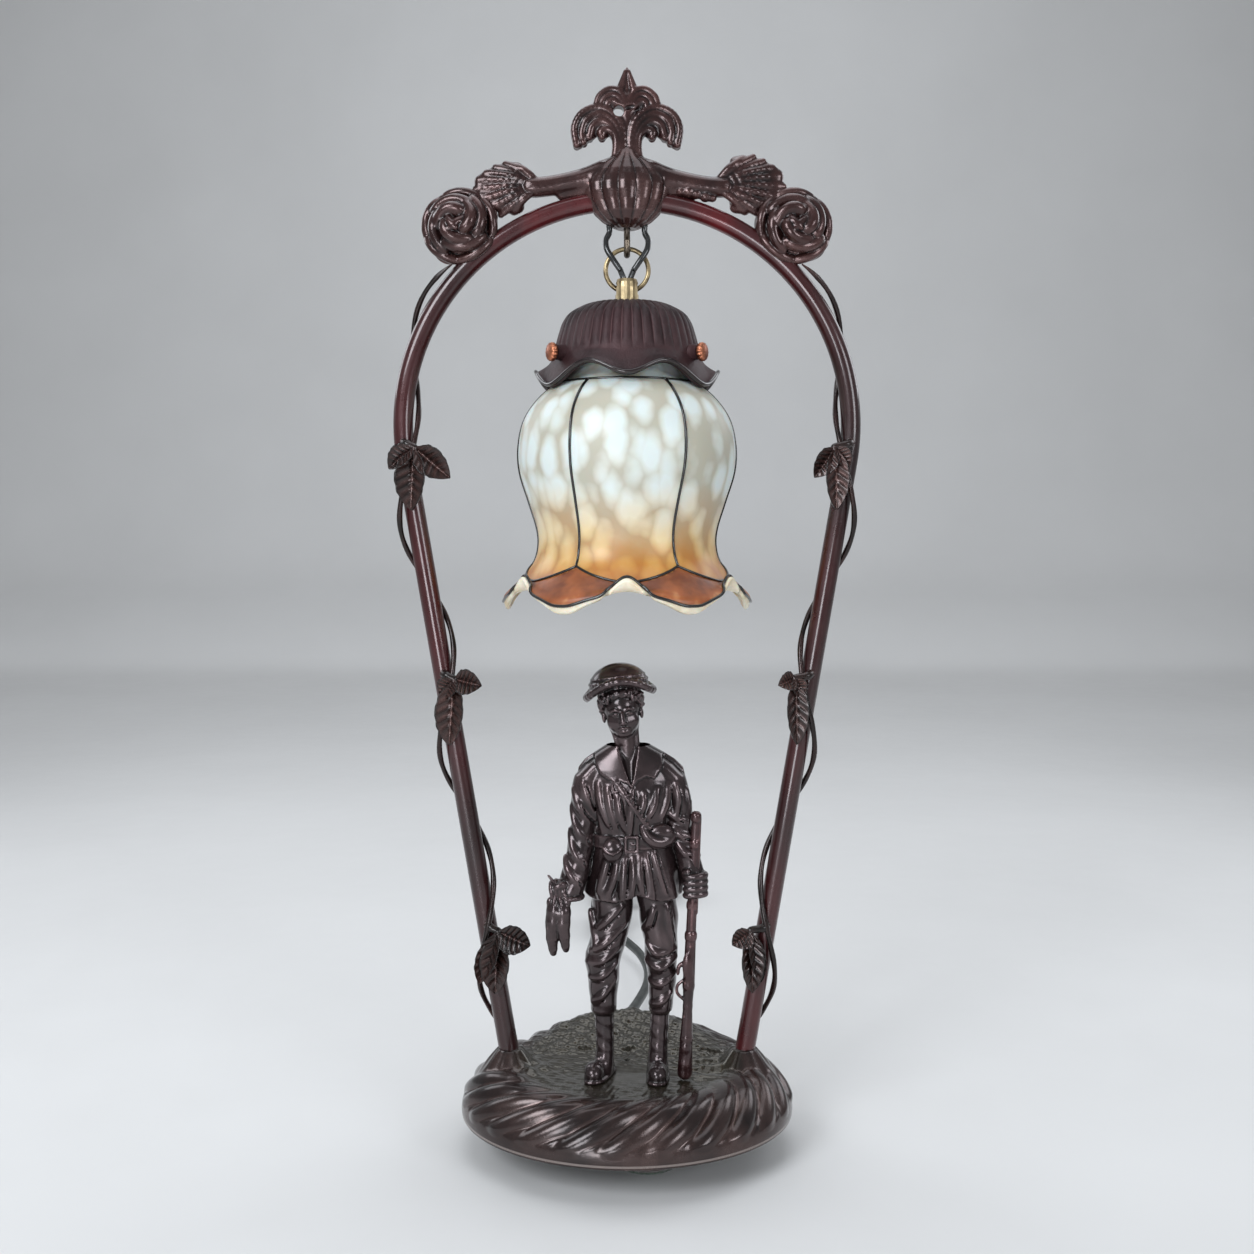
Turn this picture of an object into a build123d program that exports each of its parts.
from build123d import *
import os
from math import asin, cos, hypot, pi, radians, sin, sqrt, tan

# Figural table lamp: an arch of two bent tubes on an oval cast base, a hunter statuette under a
# flower-shaped glass shade that hangs from a hook and ring.  Millimetres, +Z up, the figure looks
# along -Y, and the origin is the centre of the base on the table top.

# ---------------------------------------------------------------- driving dimensions
BASE_LENGTH = 166.0  # oval base, along X
BASE_WIDTH = 142.0  # oval base, along Y
RIM_TOP = 17.0  # plain band below the gadroons
GADROON_TOP = 32.5
GADROONS = 24
GROUND_Z = 30.0  # where the figure stands
HILL_Z = 44.5  # the ground rises behind the figure
CAVITY_TOP = 26.5

TUBE_OD = 10.0
TUBE_ID = 8.0
ARCH_RADIUS = 113.0  # centreline of the bow
ARCH_CENTRE_Z = 353.0
ARCH_LEAN = 9.9  # degrees, the straight legs lean inwards going down
TUBE_FOOT_Z = 19.5
HALF_GAP = 2.2  # the two tubes end this far from the middle, beside the hook's shank
LEAD_OD = 3.0
LEAD_EXIT_X = 9.0

CROWN_TIP = 533.0
BOSS_BOTTOM = 451.7
BOSS_FLUTES = 12
FLEX_TOP = BOSS_BOTTOM + 1.2  # where a lead leaves the crown and hangs free
PLUME_THICKNESS = 5.0
ROSE_X = 83.5
ROSE_Z = 452.0
ROSE_RADIUS = 19.5

HOOK_OD = 3.2
HOOK_BEND = 4.2  # centreline radius of the hook's bowl
HOOK_Z = 438.4  # wire centre at the bottom of the bowl, where the ring swings
RING_OD = 24.0
RING_WIRE = 2.4
HANG_GAP = 0.3

CAP_TOP = 413.7
CAP_RIBS = 40
CAP_RIB_FOOT = (36.3, 391.5)  # radius and height where the ribs end
BRIM_WAVES = 6
WALL = 2.4  # cap casting

GLASS_WALL = 2.6
PETALS = 6

HOLDER_RADIUS = 14.0
BULB_RADIUS = 22.5

CORD_OD = 6.0
CORD_LIE = CORD_OD / 2 + 0.1  # centreline of a cord lying on the table
GLAND_X = -6.0
GLAND_Z = 15.5
COIL_CENTRE = (8.0, 474.0)
COIL_OUTER = 36.5  # centreline radius of the outer turn
COIL_TURN_STEP = 7.5  # from turn to turn, wide enough for the climbs
COIL_LAYER_STEP = 6.5
COIL_HALF_TURNS = (2, 2, 2, 1)  # in each layer, besides the half turn of each climb
CORD_SIDES = 6  # the cord's section is a polygon

FIGURE_Y = -13.0
FOOT_RING = 50.0  # the three feet stand on this radius, before the oval is drawn in
FOOT_TURN = 11.0  # degrees

SIDES_OF_ROUND = 10  # sides of the sections of modelled castings
TURNED_SIDES = 24  # round pieces about an upright axis are many-sided
ROD_SIDES = 12
OVAL = BASE_WIDTH / BASE_LENGTH
BASE_R = BASE_LENGTH / 2
TUBE_R = TUBE_OD / 2
RING_R = (RING_OD - RING_WIRE) / 2
RING_TOP = HOOK_Z + (HOOK_OD + RING_WIRE) / 2 + HANG_GAP
RING_CENTRE = RING_TOP - RING_R
RING_BOTTOM = RING_CENTRE - RING_R
LEAN = radians(ARCH_LEAN)
TANGENT = (ARCH_RADIUS * cos(LEAN), ARCH_CENTRE_Z - ARCH_RADIUS * sin(LEAN))


# ---------------------------------------------------------------- helpers
def skinned(rows, capped=True):
    """A closed solid over rings of points, with flat triangles between them; uncapped, they run full circle."""
    facets = []
    if capped:
        facets = [Face(Wire.make_polygon(rows[0])), Face(Wire.make_polygon(rows[-1]))]
    following_rows = rows[1:] if capped else rows[1:] + rows[:1]
    for row, following in zip(rows, following_rows):
        for a, b, c, d in zip(row, row[1:] + row[:1], following[1:] + following[:1], following):
            facets += [Face(Wire.make_polygon([a, b, c])), Face(Wire.make_polygon([a, c, d]))]
    return Solid(Shell(facets))


def ring_on(plane, radius, across, sides=SIDES_OF_ROUND):
    """A ring of points, round or oval, in a plane."""
    angles = [2 * pi * k / sides for k in range(sides)]
    return [plane.from_local_coords(Vector(radius * cos(a), across * sin(a), 0)) for a in angles]


def turned(*profile, sides=TURNED_SIDES, oval=1.0):
    """A many-sided solid about Z from a closed (radius, z) outline, full where the outline meets the axis."""
    rows = [ring_on(Plane(origin=(0, 0, z)), r, r * oval, sides) for r, z in profile if r > 0]
    return skinned(rows, capped=len(rows) < len(profile))


def lobed(radius, lobes, bulge, z, turn=0.0, oval=1.0, facets=3):
    """A ring of outward bulges between points on a circle or an oval, each a few flat facets."""
    points = []
    step = 2 * pi / lobes
    for k in range(lobes * facets):
        a = k * step / facets + radians(turn)
        out = radius + bulge * sin(pi * (k % facets) / facets)
        points.append(Vector(out * cos(a), out * oval * sin(a), z))
    return points


def oblong(plane, width, length, corner, facets=3):
    """A ring of points round a rectangle with rounded corners, in a plane."""
    points = []
    for k in range(4):
        x = (width / 2 - corner) * (1 if k in (0, 3) else -1)
        y = (length / 2 - corner) * (1 if k < 2 else -1)
        for m in range(facets + 1):
            a = pi / 2 * (k + m / facets)
            points.append(plane.from_local_coords(Vector(x + corner * cos(a), y + corner * sin(a), 0)))
    return points


def rod(start, end, radius, end_radius=None, sides=ROD_SIDES):
    """A many-sided bar, or a tapered one, from one point to another."""
    start, end = Vector(start), Vector(end)
    plane = Plane(origin=start, z_dir=end - start)
    end_radius = radius if end_radius is None else end_radius
    far = plane.offset((end - start).length)
    return skinned([ring_on(plane, radius, radius, sides), ring_on(far, end_radius, end_radius, sides)])


def bore(start, end, radius):
    """Clear way for a round bar: a rod whose flats stand at the radius."""
    return rod(start, end, radius / cos(pi / ROD_SIDES))


def egg(centre, radii):
    """A rounded solid: level ovals stacked between two small flat poles."""
    x, y, z = centre
    rx, ry, rz = radii
    rows = [radians(a) for a in (-74, -40, 0, 40, 74)]
    return body_of(*[(x, y, z + rz * sin(t), rx * cos(t), ry * cos(t)) for t in rows])


def block(low, high):
    size = [b - a for a, b in zip(low, high)]
    return Pos(*low) * Box(*size, align=(Align.MIN, Align.MIN, Align.MIN))


def limb(*stations):
    """A faceted solid through rings (x, y, z, radius), each square to the way the limb runs."""
    centres = [Vector(*s[:3]) for s in stations]
    last = len(centres) - 1
    rings = []
    for k, (_, _, _, radius) in enumerate(stations):
        along = centres[min(k + 1, last)] - centres[max(k - 1, 0)]
        plane = Plane(origin=centres[k], x_dir=along.cross(Vector(0, 1, 0)), z_dir=along)
        rings.append(ring_on(plane, radius, radius))
    return skinned(rings)


def body_of(*stations):
    """A faceted solid through level ovals (x, y, z, x radius, y radius)."""
    return skinned([ring_on(Plane(origin=(x, y, z)), rx, ry) for x, y, z, rx, ry in stations])


def bend_radii(points):
    """Each bend as large as its runs allow: 0.45 of the shorter over the tangent of half the turn."""
    radii = []
    for before, corner, after in zip(points, points[1:], points[2:]):
        run_in, run_out = Vector(corner) - Vector(before), Vector(after) - Vector(corner)
        turn = radians(run_in.get_angle(run_out))
        radii.append(0.45 * min(run_in.length, run_out.length) / tan(turn / 2))
    return radii


def bent_path(points):
    return FilletPolyline(*points, radius=bend_radii(points)).wire()


def ring_face(radius, sides):
    """A many-sided section for a wire or a tube."""
    return RegularPolygon(radius, sides)


def swept(path, section):
    return sweep(Plane(origin=path @ 0, z_dir=path % 0) * section, path=path)


# ---------------------------------------------------------------- arch geometry
def on_leg(side, z):
    """A point of a tube's centreline on its straight leg."""
    return Vector(side * (TANGENT[0] - (TANGENT[1] - z) * tan(LEAN)), 0, z)


def on_arm(side, z):
    """Centreline point and outward direction of a tube at a height, up to the bow's top."""
    if z < TANGENT[1]:
        return on_leg(side, z), Vector(side * cos(LEAN), 0, -sin(LEAN))
    rise = asin(min((z - ARCH_CENTRE_Z) / ARCH_RADIUS, 0.999))
    out = Vector(side * cos(rise), 0, sin(rise))
    return Vector(0, 0, ARCH_CENTRE_Z) + out * ARCH_RADIUS, out


def on_bow(side, x):
    """A point of the bow's centreline at a distance from the middle."""
    return Vector(side * x, 0, ARCH_CENTRE_Z + sqrt(ARCH_RADIUS**2 - x**2))


def arm_path(side, foot_z, top_x):
    middle = Vector(side * ARCH_RADIUS * cos(pi / 4), 0, ARCH_CENTRE_Z + ARCH_RADIUS * sin(pi / 4))
    knee = Vector(side * TANGENT[0], 0, TANGENT[1])
    leg = Edge.make_line(on_leg(side, foot_z), knee)
    bow = Edge.make_three_point_arc(knee, middle, on_bow(side, top_x))
    return Wire([leg, bow])


def lead_turn(side):
    """The end of a lead: it bends out of the tube's bore and drops through the crown."""
    bore_end = on_bow(side, 17)
    along = on_bow(side, 16.9) - bore_end
    low = Vector(side * LEAD_EXIT_X, 0, bore_end.Z - 6.5)
    bend = Edge.make_spline([bore_end, low], tangents=[along, Vector(0, 0, -1)])
    return [bend, Edge.make_line(low, (side * LEAD_EXIT_X, 0, FLEX_TOP))]


def lead_way(side):
    """Clear way round a lead's turn, cut out of the tube and the crown."""
    below = Edge.make_line((side * LEAD_EXIT_X, 0, FLEX_TOP), (side * LEAD_EXIT_X, 0, 446))
    return swept(Wire([*lead_turn(side), below]), ring_face(2.1, 8))


def arch_tube(side):
    """Bent tube from under the base to the hook's shank, with a hole under its end for the lead."""
    section = ring_face(TUBE_R, 12) - ring_face(TUBE_ID / 2, 8)
    return swept(arm_path(side, TUBE_FOOT_Z, HALF_GAP), section) - lead_way(side)


def arch_spigot():
    """Curved plug that joins the two tubes inside their bores, drilled for the hook's shank."""
    ends = [on_bow(-1, 6.2), on_bow(1, 0), on_bow(1, 6.2)]
    plug = swept(Wire([Edge.make_three_point_arc(*ends)]), ring_face(TUBE_ID / 2 - 0.05, 8))
    return plug - bore((0, 0, 450), (0, 0, 480), HOOK_OD / 2 + 0.05)


# ---------------------------------------------------------------- base
def foot_places():
    """Centres of the three bun feet."""
    for k in range(3):
        a = radians(-90 + FOOT_TURN + 120 * k)
        yield FOOT_RING * cos(a), FOOT_RING * OVAL * sin(a)


def gadroon_band():
    """Swirling lobes that roll over the shoulder of the base."""
    rows = [
        (BASE_R - 2.8, RIM_TOP - 0.5, 0, 1.6),
        (BASE_R - 4.2, 24.0, 3, 2.2),
        (BASE_R - 9.5, 29.5, 9, 2.3),
        (BASE_R - 16.5, GADROON_TOP - 0.4, 16, 1.9),
        (BASE_R - 26.0, GADROON_TOP - 1.5, 24, 1.0),
    ]
    return skinned([lobed(r, GADROONS, bulge, z, turn, OVAL) for r, z, turn, bulge in rows])


def ground_hill():
    """Rocky ground behind the figure: a rising profile trimmed by a dome."""
    top = [(-56, 28.5), (-30, 30), (-8, 31), (14, 37), (34, 43), (46, HILL_Z), (56, 40), (64, 24)]
    outline = Polyline(*top, (64, 18), (-56, 18), close=True)
    ridge = extrude(make_face(Plane.YZ * outline), amount=66, both=True)
    return ridge & egg((0, 2, 14), (67, 58, 33))


def arm_boss(side):
    """Tapered socket that a tube's foot stands in."""
    return rod(on_leg(side, 20), on_leg(side, 38.5), 14.0, 8.2)


def base_casting():
    rim = turned((0, 8), (81.4, 8), (83, 9.6), (83, 14.8), (81.4, RIM_TOP), (0, RIM_TOP), sides=48, oval=OVAL)
    cavity = turned(
        (0, 7), (78.2, 7), (78.2, 9.8), (76, 9.8), (76, 15), (71, 22), (60, CAVITY_TOP), (0, CAVITY_TOP),
        sides=48, oval=OVAL,
    )
    shell = rim + gadroon_band() + ground_hill()
    for side in (-1, 1):
        shell += arm_boss(side)
    shell -= cavity
    for x, y in foot_places():
        shell += rod((x, y, 9.8), (x, y, CAVITY_TOP + 0.5), 5.0)
        shell -= bore((x, y, 9), (x, y, 24), 1.75)
    for side in (-1, 1):
        shell -= bore(on_leg(side, 12), on_leg(side, CAVITY_TOP), 9.6)
        shell -= bore(on_leg(side, 12), on_leg(side, 42), TUBE_R + 0.05)
        shell -= bore((side * 14, FIGURE_Y, 20), (side * 14, FIGURE_Y, 34), 1.75)
    shell -= block((-32, -34, GROUND_Z), (36, -4, 50))
    shell -= bore((GLAND_X, 50, GLAND_Z), (GLAND_X, 65.3, GLAND_Z), 5.8)
    return shell - bore((GLAND_X, 58, GLAND_Z), (GLAND_X, 76, GLAND_Z), 4.6)


def bottom_cover():
    cover = turned((0, 8.15), (77.8, 8.15), (77.8, 9.65), (0, 9.65), sides=48, oval=OVAL)
    for x, y in foot_places():
        cover -= bore((x, y, 7), (x, y, 11), 1.9)
    return cover


def bun_foot(x, y):
    foot = turned((0, 1), (15, 1), (18.5, 3.4), (19.8, 6), (19.4, 8.1), (0, 8.1))
    foot -= bore((0, 0, 0), (0, 0, 4.6), 4.0)
    foot -= bore((0, 0, 4), (0, 0, 9), 1.9)
    return Pos(x, y, 0) * foot


def foot_felt(x, y):
    return Pos(x, y, 0) * turned((4.4, 0), (14.5, 0), (14.5, 1), (4.4, 1))


def pan_screw(x, y, head_z, tip_z, radius, head_radius, head_height):
    """A screw seen as its head and shank, driven upwards."""
    head = rod((x, y, head_z), (x, y, head_z + head_height), head_radius)
    return head + rod((x, y, head_z + head_height - 0.1), (x, y, tip_z), radius)


def arm_nut(side):
    """Hexagon nut that clamps a tube's foot under the boss."""
    axis = Plane(origin=on_leg(side, 21.6), z_dir=on_leg(side, 40) - on_leg(side, 20))
    nut = extrude(axis * RegularPolygon(8.0, 6), amount=4.6)
    return nut - bore(on_leg(side, 15), on_leg(side, 30), TUBE_R + 0.05)


def terminal_block():
    case = block((-13, 34, 11), (7, 46, 22))
    for x in (-8, 2):
        case -= bore((x, 30, 15.5), (x, 50, 15.5), 2.0)
        case -= bore((x, 37, 17), (x, 37, 23), 1.6)
    return case


def lead_in_arm(side):
    """One conductor from the terminal block up through a tube and out under its top end."""
    inside = on_leg(side, TUBE_FOOT_Z - 3)
    slope = (on_leg(side, 40) - on_leg(side, 20)).normalized()
    below = inside - slope * 2.5
    entry = Vector(-3 + side * 5, 34, 15.5)
    start = [entry, entry + Vector(side * 1.5, -9, -1), below + Vector(-side * 16, 6, 0.6), below]
    inner = FilletPolyline(*start, on_leg(side, 60), radius=[5, 5, 5]).wire()
    arm = arm_path(side, 60, 17)
    return swept(Wire([*inner.edges(), *arm.edges(), *lead_turn(side)]), ring_face(LEAD_OD / 2, 6))


# ---------------------------------------------------------------- crown casting
def crown_boss():
    """Fluted turban-shaped housing where the arms meet."""
    rows = [(452, 5), (455, 11.5), (462, 18), (470.5, 20.6), (477, 19.4), (484, 13), (490.4, 5.5)]
    return skinned([lobed(r, BOSS_FLUTES, 0.088 * r, z, oval=0.82) for z, r in rows])


def plume_outline():
    """The plume's outline: each lobe is three points, its start, its crest and the next one's start."""
    half = [
        ((5.5, 484), (5.6, 491), (8.6, 497.2)),
        ((8.6, 497.2), (12.6, 499.6), (15.2, 496.6)),
        ((15.2, 496.6), (18.6, 493.6), (22.6, 491.8)),
        ((22.6, 491.8), (29.4, 494.0), (27.2, 501.8)),
        ((27.2, 501.8), (23.4, 510.4), (16.4, 514.2)),
        ((16.4, 514.2), (13.6, 521.0), (6.4, 523.8)),
        ((6.4, 523.8), (3.8, 529.8), (0, CROWN_TIP)),
    ]
    right = [point for arc in half for point in arc[:2]]
    left = [(-x, z) for x, z in reversed(right)]
    return Plane.XZ * Polyline(*right, (0, CROWN_TIP), *left, close=True)


def plume():
    """Five-lobed leaf crown with raised curls on its face and a small piercing."""
    plate = extrude(make_face(plume_outline()), amount=PLUME_THICKNESS / 2, both=True)
    for side in (-1, 1):
        for radius, x, z in ((8.6, 18.2, 500.6), (6.0, 9.2, 514.4)):
            face = Plane(origin=(side * x, -PLUME_THICKNESS / 2 + 0.4, z), z_dir=(0, -1, 0))
            plate += skinned([ring_on(face, radius, radius), ring_on(face.offset(1.9), radius * 0.6, radius * 0.6)])
    return plate - bore((-4.5, -9, 510.7), (-4.5, 9, 510.7), 2.9)


def leaf(base, tip, width, thickness, lean=0.0):
    """A keeled leaf blade with a wavy edge, from its stalk to its tip, facing -Y and leaning."""
    base, tip = Vector(base), Vector(tip)
    along = (tip - base).normalized()
    front = Vector(0, -1, 0).rotate(Axis((0, 0, 0), tuple(along)), lean)
    plane = Plane(origin=base, x_dir=along.cross(front), z_dir=along)
    length = (tip - base).length
    stations = [(0, 0.16), (0.2, 0.66), (0.34, 0.6), (0.52, 1.0), (0.68, 0.72), (0.8, 0.62), (1, 0.08)]
    sections = []
    for t, w in stations:
        half, keel = width / 2 * w, thickness * (1.0 if t < 0.9 else 0.4)
        outline = [(half, 0), (0, keel), (-half, 0), (-half * 0.9, -0.7), (half * 0.9, -0.7)]
        here = plane.offset(length * t)
        sections.append([here.from_local_coords(Vector(x, y, 0)) for x, y in outline])
    return skinned(sections)


def crown_arm():
    """Right-hand stalk over a tube, with a saddle on the tube, that ends in a fanned leaf."""
    arm = limb((12, 0, 478, 4.4), (28, 0, 474.8, 2.8), (44, -1, 474.6, 2.5), (58, -2, 475.5, 3.0))
    arm += rod((31, 0, 464), (31, 0, 474), 2.8, 2.2)
    for (x, y, z), width in (((84, 8, 471), 11), ((76, 6, 463.5), 9), ((77, 6, 480), 9), ((66, 2, 488), 10)):
        arm += leaf((46, -1.5, 474.8), (x, y, z), width, 2.6, 12)
    return arm


def crown_casting():
    arm = crown_arm()
    solid = crown_boss() + plume() + arm + mirror(arm, about=Plane.YZ)
    bow = Edge.make_three_point_arc(on_bow(-1, 60), on_bow(1, 0), on_bow(1, 60))
    solid -= swept(Wire([bow]), ring_face(TUBE_R + 0.05, 12))
    solid -= bore((0, 0, 450), (0, 0, 482), HOOK_OD / 2 + 0.05)
    solid -= bore((0, 2, 476.5), (0, 30, 476.5), 6.0) + bore((0, 0, 471.5), (0, 0, 481.5), 5.4)
    for side in (-1, 1):
        solid -= lead_way(side)
    return solid


def hook_nut():
    nut = extrude(Plane(origin=(0, 0, 472)) * RegularPolygon(4.0, 6), amount=3.0)
    return nut - bore((0, 0, 470), (0, 0, 477), HOOK_OD / 2 + 0.05)


def hook():
    """Rod hook: shank through the arch, an offset and an open bowl in the YZ plane."""
    bowl_z = HOOK_Z + HOOK_BEND
    shank = FilletPolyline(
        (0, 0, 478), (0, 0, bowl_z + 7.6), (0, HOOK_BEND, bowl_z + 3), (0, HOOK_BEND, bowl_z), radius=2.4
    )
    bowl = Edge.make_three_point_arc((0, HOOK_BEND, bowl_z), (0, 0, HOOK_Z), (0, -HOOK_BEND, bowl_z))
    tip = Edge.make_line((0, -HOOK_BEND, bowl_z), (0, -HOOK_BEND, bowl_z + 2.4))
    return swept(Wire([*shank.edges(), bowl, tip]), ring_face(HOOK_OD / 2, 8))


def rose(side):
    """Rolled rose: five outer petals, an inner row and a twisted bud, facing -Y."""
    r = ROSE_RADIUS
    outer = skinned([lobed(r * 0.42, 5, 1.0, 0, 0), lobed(r * 0.80, 5, 2.6, 5, 6), lobed(r * 0.84, 5, 3.0, 9, 12)])
    hollow = skinned([lobed(r * 0.40, 5, 0.8, 4.4, 10), lobed(r * 0.70, 5, 2.4, 9.6, 12)])
    inner = skinned([lobed(r * 0.36, 5, 0.8, 4, 40), lobed(r * 0.58, 5, 1.8, 9, 46), lobed(r * 0.46, 5, 1.6, 12, 50)])
    bud = skinned([lobed(r * 0.30, 3, 1.6, 11, 0), lobed(r * 0.27, 3, 1.5, 14, 25), lobed(r * 0.08, 3, 0.5, 17, 50)])
    flower = outer - hollow + inner + bud
    return Plane(origin=(side * ROSE_X, 4.5, ROSE_Z), z_dir=(side * 0.12, -1, 0.1)) * flower


def rose_stalk(side):
    """Short stub that pins a rose to the top of its tube."""
    foot = on_bow(side, ROSE_X - 6)
    return rod(foot + Vector(side * 2.6, 0, 4.6), (side * ROSE_X, 3.6, ROSE_Z - 6), 2.6, 3.4)


def rose_piece(side):
    """A rose with its stub, hollowed where it sits against the tube."""
    seat = Wire([Edge.make_three_point_arc(*[on_bow(side, x) for x in (60, 82, 104)])])
    return rose(side) + rose_stalk(side) - swept(seat, ring_face(TUBE_R + 0.03, 12))


# ---------------------------------------------------------------- climbing vine
VINE_OD = 2.8
VINE_OUT = 7.5  # centreline stand-off from the tube's centreline
VINE_TOP = 429.0
VINE_FOOT = 44.0
VINE_PITCH = 114.5
VINE_PHASE_Z = 413.0  # on the outer side of the tube at this height


def vine(side):
    """Wire tendril that winds about three times round an arm."""
    steps = round((VINE_TOP - VINE_FOOT) / VINE_PITCH * 7)
    points = []
    for k in range(steps + 1):
        z = VINE_TOP + (VINE_FOOT - VINE_TOP) * k / steps
        twist = 2 * pi * (VINE_PHASE_Z - z) / VINE_PITCH
        centre, out = on_arm(side, z)
        stand_off = VINE_OUT + 1.2 * max(0.0, cos(twist))
        points.append(centre + out * (stand_off * cos(twist)) + Vector(0, stand_off * sin(twist), 0))
    return swept(bent_path(points), ring_face(VINE_OD / 2, 5))


# height on the tube, then each leaf's reach to the outer side and up, and its width
LEAF_CLUSTERS = (
    (334.0, ((-13, -26, 14), (-17, -2, 12), (9, 2, 11))),
    (216.0, ((-5, -25, 13), (-13, 4, 12), (8, -4, 10))),
    (84.0, ((-4, -24, 13), (-14, 6, 13), (10, -2, 11))),
)


def leaf_cluster(side, z, leaves):
    """Three leaves on a short stalk in front of a tube, pointing inwards and down."""
    centre, out = on_arm(side, z)
    joint = centre - out * 2 + Vector(0, -TUBE_R - 4.6, 0)
    cluster = rod(centre - out + Vector(0, -TUBE_R + 1, 0), joint, 1.6)
    for reach_out, reach_up, width in leaves:
        tip = joint + Vector(side * reach_out, -2.5, reach_up)
        cluster += leaf(joint, tip, width, 1.5, -14 * side)
    return cluster - bore(on_leg(side, z - 20), on_leg(side, z + 20), TUBE_R)


def leaves(side):
    """The three leaf clusters of an arm, seated on its tube and its vine."""
    tendril = vine(side)
    return grouped([leaf_cluster(side, *cluster) - tendril for cluster in LEAF_CLUSTERS])


# ---------------------------------------------------------------- statuette
HEAD = (-2.5, -13.5, 207.0)


def leg(side, *stations):
    knee_to_hip = body_of(*stations)
    shoe = egg((side * 14.6 - 0.6, FIGURE_Y - 5.5, 31), (5.4, 12, 8.6))
    return knee_to_hip + (shoe & block((-40, -50, GROUND_Z), (40, 20, 60)))


def hat():
    """Round hat with a drooping brim, tipped back a little."""
    brim = turned((0, 0.4), (10.5, 0.4), (17.4, -1.0), (17.6, 0.2), (12, 4.0), (0, 4.0))
    crown = turned((0, 2.5), (12.4, 2.5), (12.3, 7.0), (10.6, 11.4), (6.6, 14.2), (0, 14.2))
    band = turned((0, 3.2), (12.9, 3.2), (12.9, 5.6), (0, 5.6))
    return Pos(HEAD[0], HEAD[1] + 0.6, HEAD[2] + 9.6) * Rot(6, 5, 0) * (brim + crown + band)


def figure_body():
    """Standing hunter in boots, breeches, belted tunic and round hat."""
    y = FIGURE_Y
    left = leg(
        -1, (-14, y, 33, 4.6, 5), (-13.6, y, 46, 4.4, 4.8), (-13.4, y + 1, 60, 5.6, 6), (-13, y + 1, 66, 6.4, 6.8),
        (-12, y, 84, 6.6, 7.2), (-10.5, y, 100, 8.2, 8.4), (-7.5, y + 0.5, 122, 9.6, 9.6),
    )
    right = leg(
        1, (13.6, y, 33, 4.6, 5), (14, y, 46, 4.4, 4.8), (14.6, y + 1, 60, 5.6, 6), (15.4, y + 1, 66, 6.4, 6.8),
        (16, y, 84, 6.8, 7.2), (14.4, y, 100, 8.2, 8.4), (11, y + 0.5, 122, 9.6, 9.6),
    )
    tunic = body_of(
        (2.5, y, 118.5, 20.4, 13), (2.5, y, 132, 18.2, 12), (2.5, y, 144, 16.0, 10.6), (2.5, y, 150, 16.2, 10.6),
        (2.2, y, 164, 19.6, 11.4), (2, y, 174, 21.6, 11), (2, y + 0.5, 181, 18, 8.4), (1.5, y + 0.5, 187, 8, 6.6),
    )
    belt = body_of((2.5, y, 144.2, 17.6, 11.9), (2.5, y, 149.0, 17.6, 11.9))
    collar = limb((1, y, 182, 11.5), (0.6, y - 0.4, 186, 9.6), (0.2, y - 0.8, 190, 7.6))
    neck = limb((0.6, y, 184, 5.6), (-0.6, y, 192, 5.0), (-1.8, y, 200, 5.2))
    head = egg(HEAD, (8.2, 9.2, 11.2))
    right_arm = limb(
        (-14, y, 178, 7.2), (-21.5, y, 172, 7.4), (-25, y + 1, 156, 6.6), (-27.4, y - 1, 144, 5.8),
        (-30, y - 4, 134, 4.4), (-31.4, y - 6, 128, 3.4)
    )
    right_hand = egg((-31.6, y - 7.0, 126.6), (4.4, 4.8, 5.6))
    left_arm = limb(
        (16, y, 178, 7.2), (25, y, 171, 7.2), (29.5, y + 1, 156, 6.4), (31.5, y - 1, 144, 5.8),
        (32.8, y - 4, 134, 4.6), (33.4, y - 5.8, 127, 3.6)
    )
    left_hand = egg((33.4, y - 6.8, 125.6), (4.8, 5.0, 5.8))
    bag = egg((16.5, y - 10.4, 149.5), (8, 3.6, 6))
    pouch = block((-10.6, y - 15.2, 138.5), (-2.4, y - 9, 147.5))
    buckle = block((-0.6, y - 12.6, 143.4), (5.6, y - 10, 149.6))
    strap = limb((-9, y - 10.2, 177, 1.5), (-1, y - 12.4, 166, 1.5), (8, y - 12.0, 156, 1.5), (14, y - 10.8, 150, 1.5))
    solid = left + right + tunic + belt + collar + neck + head + hat()
    for piece in (right_arm, right_hand, left_arm, left_hand, bag, pouch, buckle, strap):
        solid += piece
    for side, x in ((-1, -14), (1, 14)):
        solid -= bore((x, y, 28), (x, y, 44), 1.55)
    return solid - rifle() - game_loop()


RIFLE_MUZZLE = (33.9, FIGURE_Y - 7.6, 160.0)
RIFLE_BUTT = (27.9, FIGURE_Y - 7.0, GROUND_Z + 0.3)


def along_rifle(t, across=0.0):
    """A point between the muzzle (0) and the butt (1)."""
    top, foot = Vector(*RIFLE_MUZZLE), Vector(*RIFLE_BUTT)
    return top + (foot - top) * t + Vector(across, 0, 0)


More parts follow.
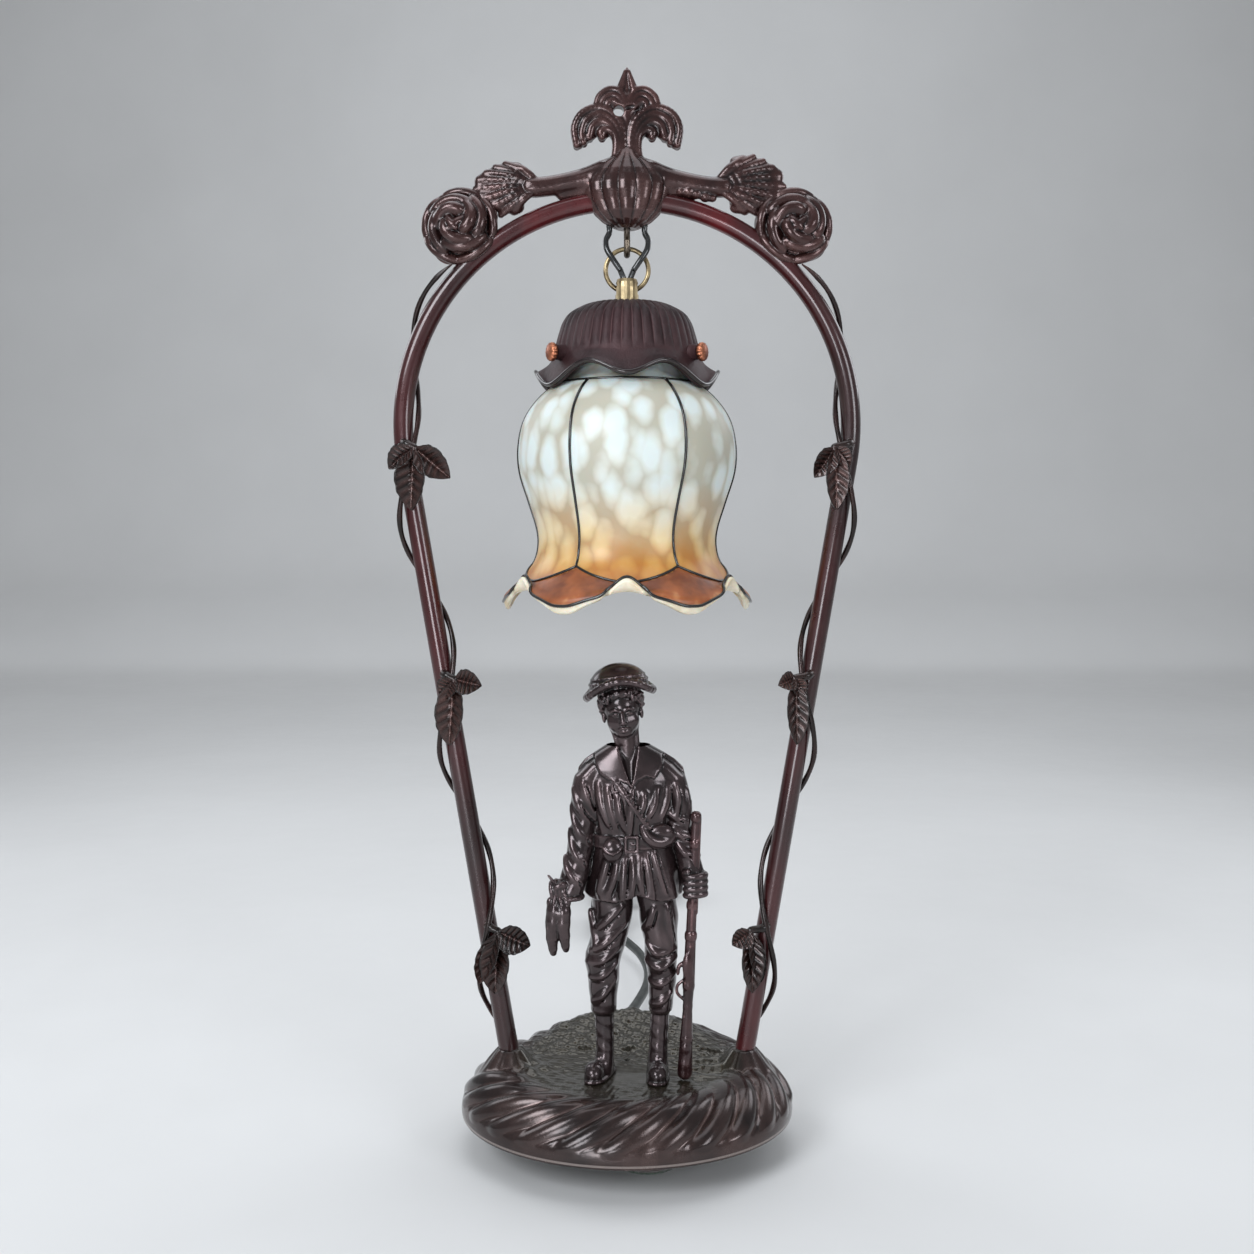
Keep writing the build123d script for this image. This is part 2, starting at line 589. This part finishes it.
def rifle():
    """Grounded hunting gun: barrel, fore-end, lock, wrist and butt."""
    stations = [
        (0, 1.9), (0.03, 1.9), (0.031, 1.45), (0.24, 1.5), (0.245, 2.0), (0.50, 2.2), (0.62, 2.9), (0.70, 2.3),
        (0.80, 2.9), (0.93, 4.0), (1.0, 4.4),
    ]
    tilt = (along_rifle(1) - along_rifle(0)).normalized()
    planes = [Plane(origin=along_rifle(t), x_dir=(0, 1, 0), z_dir=tilt) for t, _ in stations]
    rings = [ring_on(plane, r * 0.8, r * 1.15, 8) for plane, (_, r) in zip(planes, stations)]
    guard = Plane(origin=along_rifle(0.655, -3.4), z_dir=(0, -1, 0)) * (
        RegularPolygon(3.2, 8) - RegularPolygon(2.1, 8)
    )
    hammer = block((31.4, FIGURE_Y - 8.4, 77.4), (35.6, FIGURE_Y - 6.8, 79.4))
    return skinned(rings) + extrude(guard, amount=0.7, both=True) + hammer


def game_loop():
    """Cord loop over the fingers that the game hangs from."""
    return rod((-31.7, FIGURE_Y - 11.6, 130.5), (-33.4, FIGURE_Y - 9.2, 117), 1.1)


def game():
    """A brace of small game hanging from the right hand."""
    y = FIGURE_Y - 9
    bird = limb((-33.4, y, 119, 2.4), (-34, y - 0.6, 111, 5.0), (-35, y - 0.6, 103, 5.8), (-36, y, 94, 2.6))
    other = limb((-33, y, 118, 2.0), (-31.2, y - 1, 110, 3.8), (-31, y - 1.2, 103, 4.0), (-31.6, y, 97, 1.6))
    wing = leaf((-34, y - 3, 114), (-39.5, y - 3, 97), 7, 1.8)
    tail = leaf((-33, y - 1, 99), (-31.5, y - 1, 89.5), 5, 1.6)
    return bird + other + wing + tail + game_loop()


# ---------------------------------------------------------------- hanging gear
def flex_lead(side):
    """Soft lead from the crown boss, past the front of the ring, down the neck to the lamp holder."""
    points = [
        (side * LEAD_EXIT_X, 0, FLEX_TOP), (side * LEAD_EXIT_X, 0, 449.6), (side * 10.8, -2.0, 445.0),
        (side * 10.0, -3.6, 440.2), (side * 6.4, -4.4, 434.6), (side * 3.2, -3.6, 430.2), (side * 1.65, -1.7, 426.0),
        (side * 1.6, -2.9, 420.4), (side * 1.7, -1.3, 415.4), (side * 1.65, -0.2, 408), (side * 1.75, 0, 400.4),
    ]
    return swept(bent_path(points), ring_face(LEAD_OD / 2, 6))


def hang_ring():
    sections = []
    for k in range(TURNED_SIDES):
        a = 2 * pi * k / TURNED_SIDES
        out = Vector(cos(a), 0, sin(a))
        plane = Plane(origin=Vector(0, 0, RING_CENTRE) + out * RING_R, x_dir=out, z_dir=(-sin(a), 0, cos(a)))
        sections.append(ring_on(plane, RING_WIRE / 2, RING_WIRE / 2, 8))
    return skinned(sections, capped=False)


def neck_coupling():
    """Brass neck with cross holes for the ring and an open top for the leads."""
    body = turned(
        (5.9, CAP_TOP + 0.1), (5.9, 421.6), (5.6, 424.4), (5.0, 426), (4.3, 426), (4.9, 424.4), (4.9, 417.5),
        (5.05, 417.5), (5.05, CAP_TOP + 0.1),
    )
    window = block((-9, -2.2, RING_BOTTOM - 1.8), (9, 2.2, RING_BOTTOM + 4.0))
    return body - window


def nipple():
    return turned((4.0, 398), (5.0, 398), (5.0, 417.3), (4.0, 417.3))


def lock_nut():
    nut = extrude(Plane(origin=(0, 0, 406.6)) * RegularPolygon(8.0, 6), amount=3.9)
    return nut - bore((0, 0, 405), (0, 0, 412), 5.05)


def rib_band():
    """Scalloped wall of the cap: forty upright ribs."""
    rows = [(21.5, 412.2), (27.0, 409.3), (30.6, 405.4), (33.0, 400.5), CAP_RIB_FOOT]
    return skinned([lobed(r, CAP_RIBS, 0.024 * r, z, facets=2) for r, z in rows])


def wave(azimuth, crests):
    """+1 where an edge turns up, -1 where it hangs; an edge turns up at the front."""
    return cos(crests * radians(azimuth))


def both_faces(middle, wall):
    """Offsets a run of (radius, z) by half a wall to each side, as one closed outline."""
    out, back = [], []
    half = wall / 2
    for k, (r, z) in enumerate(middle):
        before, after = middle[max(k - 1, 0)], middle[min(k + 1, len(middle) - 1)]
        dr, dz = after[0] - before[0], after[1] - before[1]
        length = hypot(dr, dz)
        out.append((r - dz / length * half, z + dr / length * half))
        back.append((r + dz / length * half, z - dr / length * half))
    return out + back[::-1]


def ruffled(middle_at, crests, wall, steps=4):
    """A closed ring of wall whose wavy rows run all round; middle_at(up) gives the mid-wall profile."""
    count = crests * steps
    columns = []
    for k in range(count):
        azimuth = 360 * k / count
        outline = both_faces(middle_at(wave(azimuth, crests)), wall)
        columns.append([Vector(0, -r, z).rotate(Axis.Z, azimuth) for r, z in outline])
    return skinned(columns, capped=False)


def brim_profile(up):
    """Mid-wall of the brim, which hangs where the glass turns up."""
    return [
        (34.9, 394), (35.3, 389.4), (36.8 + 0.3 * up, 385.4 - 0.4 * up), (40.2 + 1.4 * up, 381.0 - 2.6 * up),
        (42.9 + 2.5 * up, 379.2 - 7.2 * up),
    ]


def screw_azimuths():
    return (-60.0, 60.0, 180.0)


def around(azimuth):
    """Turns something made at the front to an azimuth."""
    return Rot(0, 0, azimuth)


SCREW_Z = 386.6
SCREW_TIP = 27.8  # radius where a thumb screw's point meets the glass neck
SCREW_HEAD = 43.6


def shade_cap():
    """Ribbed dome with a ruffled brim and three screw lugs."""
    dome = turned((5.1, 411.0), (21.8, 411.0), (21.8, 412.4), (17.0, 413.4), (6.6, CAP_TOP), (5.1, CAP_TOP))
    cavity = turned((0, 391), (33.7, 391), (31.4, 399.6), (29.0, 404.2), (25.6, 407.6), (20.6, 410.7), (0, 410.7))
    cap = rib_band() - cavity
    cap += dome
    cap -= bore((0, 0, 405), (0, 0, 416), 5.1)
    cap += ruffled(brim_profile, BRIM_WAVES, WALL)
    for azimuth in screw_azimuths():
        lug = rod((0, -33.6, SCREW_Z), (0, -41.0, SCREW_Z), 4.4)
        cap += around(azimuth) * lug
    for azimuth in screw_azimuths():
        cap -= around(azimuth) * bore((0, -30, SCREW_Z), (0, -42.6, SCREW_Z), 1.6)
    return cap


def thumb_screw(azimuth):
    """Copper thumb screw that grips the lip of the glass."""
    shank = rod((0, -SCREW_TIP, SCREW_Z), (0, -SCREW_HEAD, SCREW_Z), 1.55)
    face = Plane(origin=(0, -SCREW_HEAD, SCREW_Z), z_dir=(0, -1, 0))
    head = skinned([lobed(4.2, 14, 0.3, 0, facets=2), lobed(4.2, 14, 0.3, 2.6, facets=2)])
    button = rod((0, 0, 2.5), (0, 0, 3.7), 3.6, 2.4)
    return around(azimuth) * (shank + face * (head + button))


def glass_profile(up):
    """Mid-wall of the bell, from the lip at the neck to the edge of the rolled petals."""
    return [
        (27.2, 394), (26.0, 383.0), (30.0, 375.4), (42.0, 366.2), (50.2, 355.0), (53.2, 342.0),
        (52.6, 329.0), (48.0, 314.0), (44.0, 301.0), (43.2, 292.0), (45.2, 283.6), (50.6 - 1.5 * up, 275.4 - 0.2 * up),
        (56.4 - 3.0 * up, 269.6 - 0.8 * up), (60.0 - 1.0 * up, 267.0 + 3.0 * up), (59.8 + 1.7 * up, 268.0 + 8.0 * up),
    ]


def glass_shade():
    """Bell-shaped flower: neck, belly, waist and six rolled petals round the mouth."""
    return ruffled(glass_profile, PETALS, GLASS_WALL)


def holder_cap():
    """Domed top of the lamp holder, threaded on the nipple."""
    return turned(
        (5.05, 400), (10.4, 400), (10.4, 395), (12.6, 395), (HOLDER_RADIUS, 396), (HOLDER_RADIUS, 400),
        (9.4, 406.3), (5.05, 406.3),
    )


def holder_skirt():
    return turned((11.0, 354), (12.4, 354), (13.4, 394.8), (10.6, 394.8), (10.6, 389), (11.4, 389))


def holder_insert():
    """Porcelain insert with two wire holes and a well for the contact."""
    insert = turned((0, 384), (10.4, 384), (10.4, 397.6), (0, 397.6)) - bore((0, 0, 383), (0, 0, 386.6), 4.4)
    for side in (-1, 1):
        insert -= bore((side * 1.75, 0, 394), (side * 1.75, 0, 399), 1.7)
    return insert


def holder_shell():
    """Threaded brass sleeve that takes the bulb's cap."""
    return turned((7.2, 360), (8.2, 360), (8.2, 383.8), (2.6, 383.8), (2.6, 383.1), (7.2, 383.1))


def centre_contact():
    return rod((0, 0, 382.4), (0, 0, 386.4), 2.2)


def bulb_cap():
    """Screw cap of the bulb, inside the holder's sleeve."""
    return turned((0, 381.9), (2.6, 381.9), (6.8, 379), (6.8, 356.2), (6.1, 355), (0, 355))


def bulb_glass():
    """Round bulb below its cap."""
    ball = [(BULB_RADIUS * cos(radians(t)), 322 + BULB_RADIUS * sin(radians(t))) for t in (20, 0, -25, -50, -75)]
    return turned((0, 354.9), (6.6, 354.9), (9.0, 351.0), (14.0, 343.6), (18.4, 336.4), *ball, (0, 300))


# ---------------------------------------------------------------- mains cord
def cord_section():
    return RegularPolygon(CORD_OD / 2, CORD_SIDES)


GLAND_END = 85.0
CORD_STRIPPED_Y = 57.0  # the outer sheath ends here, inside the base
SWITCH_PLACE = (-15.8, 379.0)  # centre of the switch on the table
SWITCH_SIZE = (24.0, 58.0, 17.0)
SWITCH_AXIS_Z = 8.6

# From the gland, over the table between the figure's legs as seen, to the switch.
ROUTE_TO_SWITCH = [
    (GLAND_X, GLAND_END, GLAND_Z), (GLAND_X, 97, GLAND_Z), (-5.0, 112, 13.0), (-2.4, 130, 6.4), (2.2, 152, 3.6),
    (8.4, 179, CORD_LIE), (14.0, 209, CORD_LIE), (14.6, 242, CORD_LIE), (9.4, 275, CORD_LIE),
    (0.2, 302, CORD_LIE), (-8.6, 320, 4.6), (-14.4, 333, 7.4), (SWITCH_PLACE[0], 342, SWITCH_AXIS_Z),
    (SWITCH_PLACE[0], 350, SWITCH_AXIS_Z),
]
ROUTE_TO_COIL = [
    (SWITCH_PLACE[0], 408.0, SWITCH_AXIS_Z), (SWITCH_PLACE[0], 417, SWITCH_AXIS_Z), (-18.2, 430, 6.4),
    (-24.3, 443, 4.0), (-28.5, 455.5, CORD_LIE), (-28.5, 468, CORD_LIE),
]


def gland():
    """Rubber grommet with a ribbed sleeve where the cord leaves the base."""
    outline = [
        (3.1, 62), (5.6, 62), (5.6, 64.6), (4.5, 65.1), (4.5, 71.2), (7.0, 71.2), (7.0, 73.4), (5.4, 74.4),
        (4.3, GLAND_END), (3.1, GLAND_END),
    ]
    sleeve = turned(*outline)
    return Pos(GLAND_X, 0, GLAND_Z) * Rot(-90, 0, 0) * sleeve


def cord_in_base():
    """Cord from the terminal block out through the gland."""
    run = Edge.make_line((GLAND_X, CORD_STRIPPED_Y, GLAND_Z), (GLAND_X, GLAND_END, GLAND_Z))
    return swept(Wire([run]), cord_section())


def core_tails():
    """The two cores between the cord's end and the terminal block."""
    tails = None
    for side in (-1, 1):
        tail = rod((GLAND_X + side * 1.4, CORD_STRIPPED_Y - 0.9, GLAND_Z), (-3 + side * 5, 46.2, GLAND_Z), 1.2)
        tails = tail if tails is None else tails + tail
    return tails


def coil_path():
    """Flat turns that spiral in and out again in layers, climbing where the spiral reverses."""
    cx, cy = COIL_CENTRE
    edges = []
    radius_now, heading = COIL_OUTER, 1
    point = Vector(cx - COIL_OUTER, cy, CORD_LIE)
    for layer, half_turns in enumerate(COIL_HALF_TURNS):
        inward = -1 if layer % 2 == 0 else 1
        for _ in range(half_turns):
            new_radius = radius_now + inward * COIL_TURN_STEP / 2
            across = radius_now + new_radius
            end = point + Vector(heading * across, 0, 0)
            crest = point + Vector(heading * across / 2, heading * across / 2, 0)
            edges.append(Edge.make_three_point_arc(point, crest, end))
            point, radius_now, heading = end, new_radius, -heading
        if layer < len(COIL_HALF_TURNS) - 1:
            across = 2 * radius_now
            half = point + Vector(heading * across / 2, heading * across / 2, COIL_LAYER_STEP / 2)
            end = point + Vector(heading * across, 0, COIL_LAYER_STEP)
            first = Edge.make_tangent_arc(point, Vector(0, heading, 0), half)
            second = Edge.make_tangent_arc(half, first % 1, end)
            edges += [first, second]
            point, heading = end, -heading
    lead_in = Edge.make_line((cx - COIL_OUTER, cy - CORD_OD, CORD_LIE), (cx - COIL_OUTER, cy, CORD_LIE))
    lead_out = Edge.make_line(point, point + Vector(0, heading * CORD_OD, 0))
    return Wire([lead_in, *edges, lead_out]), point


def least_gap(wire, samples=900):
    """Smallest space between turns of the coil, measured between points along its centreline."""
    length = wire.length
    points = [wire.position_at(k / samples) for k in range(samples + 1)]
    apart = int(samples * 60 / length)
    least = 1e9
    for k in range(0, samples + 1, 2):
        for m in range(k + apart, samples + 1):
            least = min(least, (points[k] - points[m]).length)
    return least - CORD_OD


COIL_WIRE, COIL_END = coil_path()

PLUG_CORD_Z = 7.0
ROUTE_TO_PLUG = [
    tuple(COIL_WIRE @ 1 + Vector(0, 0.15, 0)), (COIL_END.X, COIL_END.Y + 19, COIL_END.Z), (-24.6, 508, 20.0),
    (-22.8, 524, 13.6), (-20.0, 540, 8.6), (-17.2, 555, PLUG_CORD_Z), (-17.2, 567, PLUG_CORD_Z),
]


def cord_coil():
    """The put-away length: one unbroken tube."""
    print(f"coil: {COIL_WIRE.length:.0f} mm of cord, least gap {least_gap(COIL_WIRE):.2f} mm")
    return swept(COIL_WIRE, cord_section())


def free_cord(name, route):
    radii = bend_radii(route)
    path = bent_path(route)
    print(f"{name}: {path.length:.0f} mm, bends from {min(radii):.0f} mm radius")
    return swept(path, cord_section())


# ---------------------------------------------------------------- switch on the cord
ROCKER_AXIS_Z = 13.4
SWITCH_SPLIT = SWITCH_AXIS_Z


def at_switch(shape):
    return Pos(*SWITCH_PLACE, 0) * shape


def switch_hull():
    """Outer form of the switch: an oblong with rounded edges and a crowned top."""
    width, length, height = SWITCH_SIZE
    rows = [(0, 1.8), (1.8, 0), (height - 3.4, 0), (height - 1.1, 1.1), (height, 3.4)]
    return skinned([oblong(Plane(origin=(0, 0, z)), width - 2 * i, length - 2 * i, 8.5 - i) for z, i in rows])


def switch_cavity():
    width, length, height = SWITCH_SIZE
    return skinned([oblong(Plane(origin=(0, 0, z)), width - 4.4, length - 12, 5) for z in (2.2, height - 2.2)])


def switch_posts():
    return [(0, 17.5), (0, -17.5)]


def switch_base():
    width, length, height = SWITCH_SIZE
    shell = switch_hull() - switch_cavity() - block((-20, -40, SWITCH_SPLIT), (20, 40, 30))
    for x, y in switch_posts():
        shell += rod((x, y, 2), (x, y, SWITCH_SPLIT), 3.2)
        shell -= bore((x, y, 1.8), (x, y, 12), 1.35) + bore((x, y, -1), (x, y, 2.2), 2.6)
    return at_switch(shell)


def switch_lid():
    """Upper half with the rocker's window and the two ears that carry its axle."""
    shell = switch_hull() - switch_cavity() - block((-20, -40, -1), (20, 40, SWITCH_SPLIT))
    for x, y in switch_posts():
        shell += rod((x, y, SWITCH_SPLIT), (x, y, 15.4), 3.2)
        shell -= bore((x, y, 8), (x, y, 13), 1.25)
    for side in (-1, 1):
        low, high = sorted((side * 4.7, side * 8.0))
        shell += block((low, -3.2, 10.4), (high, 3.2, 15.6))
    shell -= block((-4.6, -8.9, 9), (4.6, 8.9, 18))
    return at_switch(shell - bore((-7, 0, ROCKER_AXIS_Z), (7, 0, ROCKER_AXIS_Z), 1.25))


def switch_rocker():
    """Seesaw button on its axle, dished on top."""
    top = [(-7.9, 17.4), (-4, 17.7), (0, 17.0), (4, 17.7), (7.9, 17.4)]
    outline = Polyline(*top, (7.4, 12.8), (2.4, 11.4), (-2.4, 11.4), (-7.4, 12.8), close=True)
    key = extrude(make_face(Plane.YZ * outline), amount=4.2, both=True)
    return at_switch(key + rod((-6.8, 0, ROCKER_AXIS_Z), (6.8, 0, ROCKER_AXIS_Z), 1.2))


def switch_screws():
    screws = None
    for x, y in switch_posts():
        screw = pan_screw(x, y, 0.5, 12.4, 1.2, 2.4, 1.6)
        screws = screw if screws is None else screws + screw
    return at_switch(screws)


# ---------------------------------------------------------------- plug
PLUG_START = ROUTE_TO_PLUG[-1]
PLUG_PIN_SPACING = 18.6


def plug_body():
    """Flat two-pin plug: a waisted grip that widens to the pin face."""
    rows = [(0, 9.4, 9.4), (4, 12, 11.6), (14, 24, 12.6), (22, 33, 13.6), (35, 35.3, 13.7)]
    across = Plane(origin=(0, 0, 0), x_dir=(1, 0, 0), z_dir=(0, 1, 0))
    grip = skinned([oblong(across.offset(y), w, h, h * 0.36) for y, w, h in rows])
    for side in (-1, 1):
        x = side * PLUG_PIN_SPACING / 2
        grip -= bore((x, 27, 0), (x, 36, 0), 2.0)
    return Pos(*PLUG_START) * grip


def plug_pins():
    pins = None
    for side in (-1, 1):
        x = side * PLUG_PIN_SPACING / 2
        pin = rod((x, 27, 0), (x, 52.6, 0), 2.0) + rod((x, 52.5, 0), (x, 54, 0), 2.0, 1.2)
        pins = pin if pins is None else pins + pin
    return Pos(*PLUG_START) * pins


# ---------------------------------------------------------------- the whole lamp
def grouped(shapes):
    """Separate identical solids kept together in one piece."""
    return Compound(children=[s for shape in shapes for s in shape.solids()])


def figure_screws():
    return grouped(
        [pan_screw(side * 14, FIGURE_Y, CAVITY_TOP - 2.4, 42.5, 1.5, 3.2, 2.3) for side in (-1, 1)]
    )


def foot_screws():
    return grouped([pan_screw(x, y, 1.9, 22.6, 1.65, 3.6, 2.6) for x, y in foot_places()])


def foot_felts():
    return grouped([foot_felt(x, y) for x, y in foot_places()])


SIDES = {"left": -1, "right": 1}

SINGLE_PIECES = {
    "base_casting": base_casting,
    "bottom_cover": bottom_cover,
    "foot_screws": foot_screws,
    "foot_felts": foot_felts,
    "figure_screws": figure_screws,
    "terminal_block": terminal_block,
    "core_tails": core_tails,
    "arch_spigot": arch_spigot,
    "crown_casting": crown_casting,
    "hook": hook,
    "hook_nut": hook_nut,
    "figure_body": figure_body,
    "rifle": rifle,
    "game": game,
    "hang_ring": hang_ring,
    "neck_coupling": neck_coupling,
    "nipple": nipple,
    "lock_nut": lock_nut,
    "shade_cap": shade_cap,
    "glass_shade": glass_shade,
    "holder_cap": holder_cap,
    "holder_skirt": holder_skirt,
    "holder_insert": holder_insert,
    "holder_shell": holder_shell,
    "centre_contact": centre_contact,
    "bulb_cap": bulb_cap,
    "bulb_glass": bulb_glass,
    "cord_gland": gland,
    "cord_in_base": cord_in_base,
    "cord_coil": cord_coil,
    "switch_base": switch_base,
    "switch_lid": switch_lid,
    "switch_rocker": switch_rocker,
    "switch_screws": switch_screws,
    "plug_body": plug_body,
    "plug_pins": plug_pins,
}

PAIRED_PIECES = {
    "arch_tube": arch_tube,
    "arm_nut": arm_nut,
    "lead_in_arm": lead_in_arm,
    "flex_lead": flex_lead,
    "rose": rose_piece,
    "vine": vine,
    "leaves": leaves,
}


def all_pieces():
    """Every piece of the lamp, as a name and its solid."""
    for name, make in SINGLE_PIECES.items():
        yield name, make()
    for word, side in SIDES.items():
        for name, make in PAIRED_PIECES.items():
            yield f"{name}_{word}", make(side)
    for k, (x, y) in enumerate(foot_places(), 1):
        yield f"bun_foot_{k}", bun_foot(x, y)
    for k, azimuth in enumerate(screw_azimuths(), 1):
        yield f"thumb_screw_{k}", thumb_screw(azimuth)
    yield "cord_to_switch", free_cord("cord_to_switch", ROUTE_TO_SWITCH)
    yield "cord_to_coil", free_cord("cord_to_coil", ROUTE_TO_COIL)
    yield "cord_to_plug", free_cord("cord_to_plug", ROUTE_TO_PLUG)


os.makedirs("parts", exist_ok=True)
for piece_name, piece in all_pieces():
    export_step(piece, f"parts/{piece_name}.step")
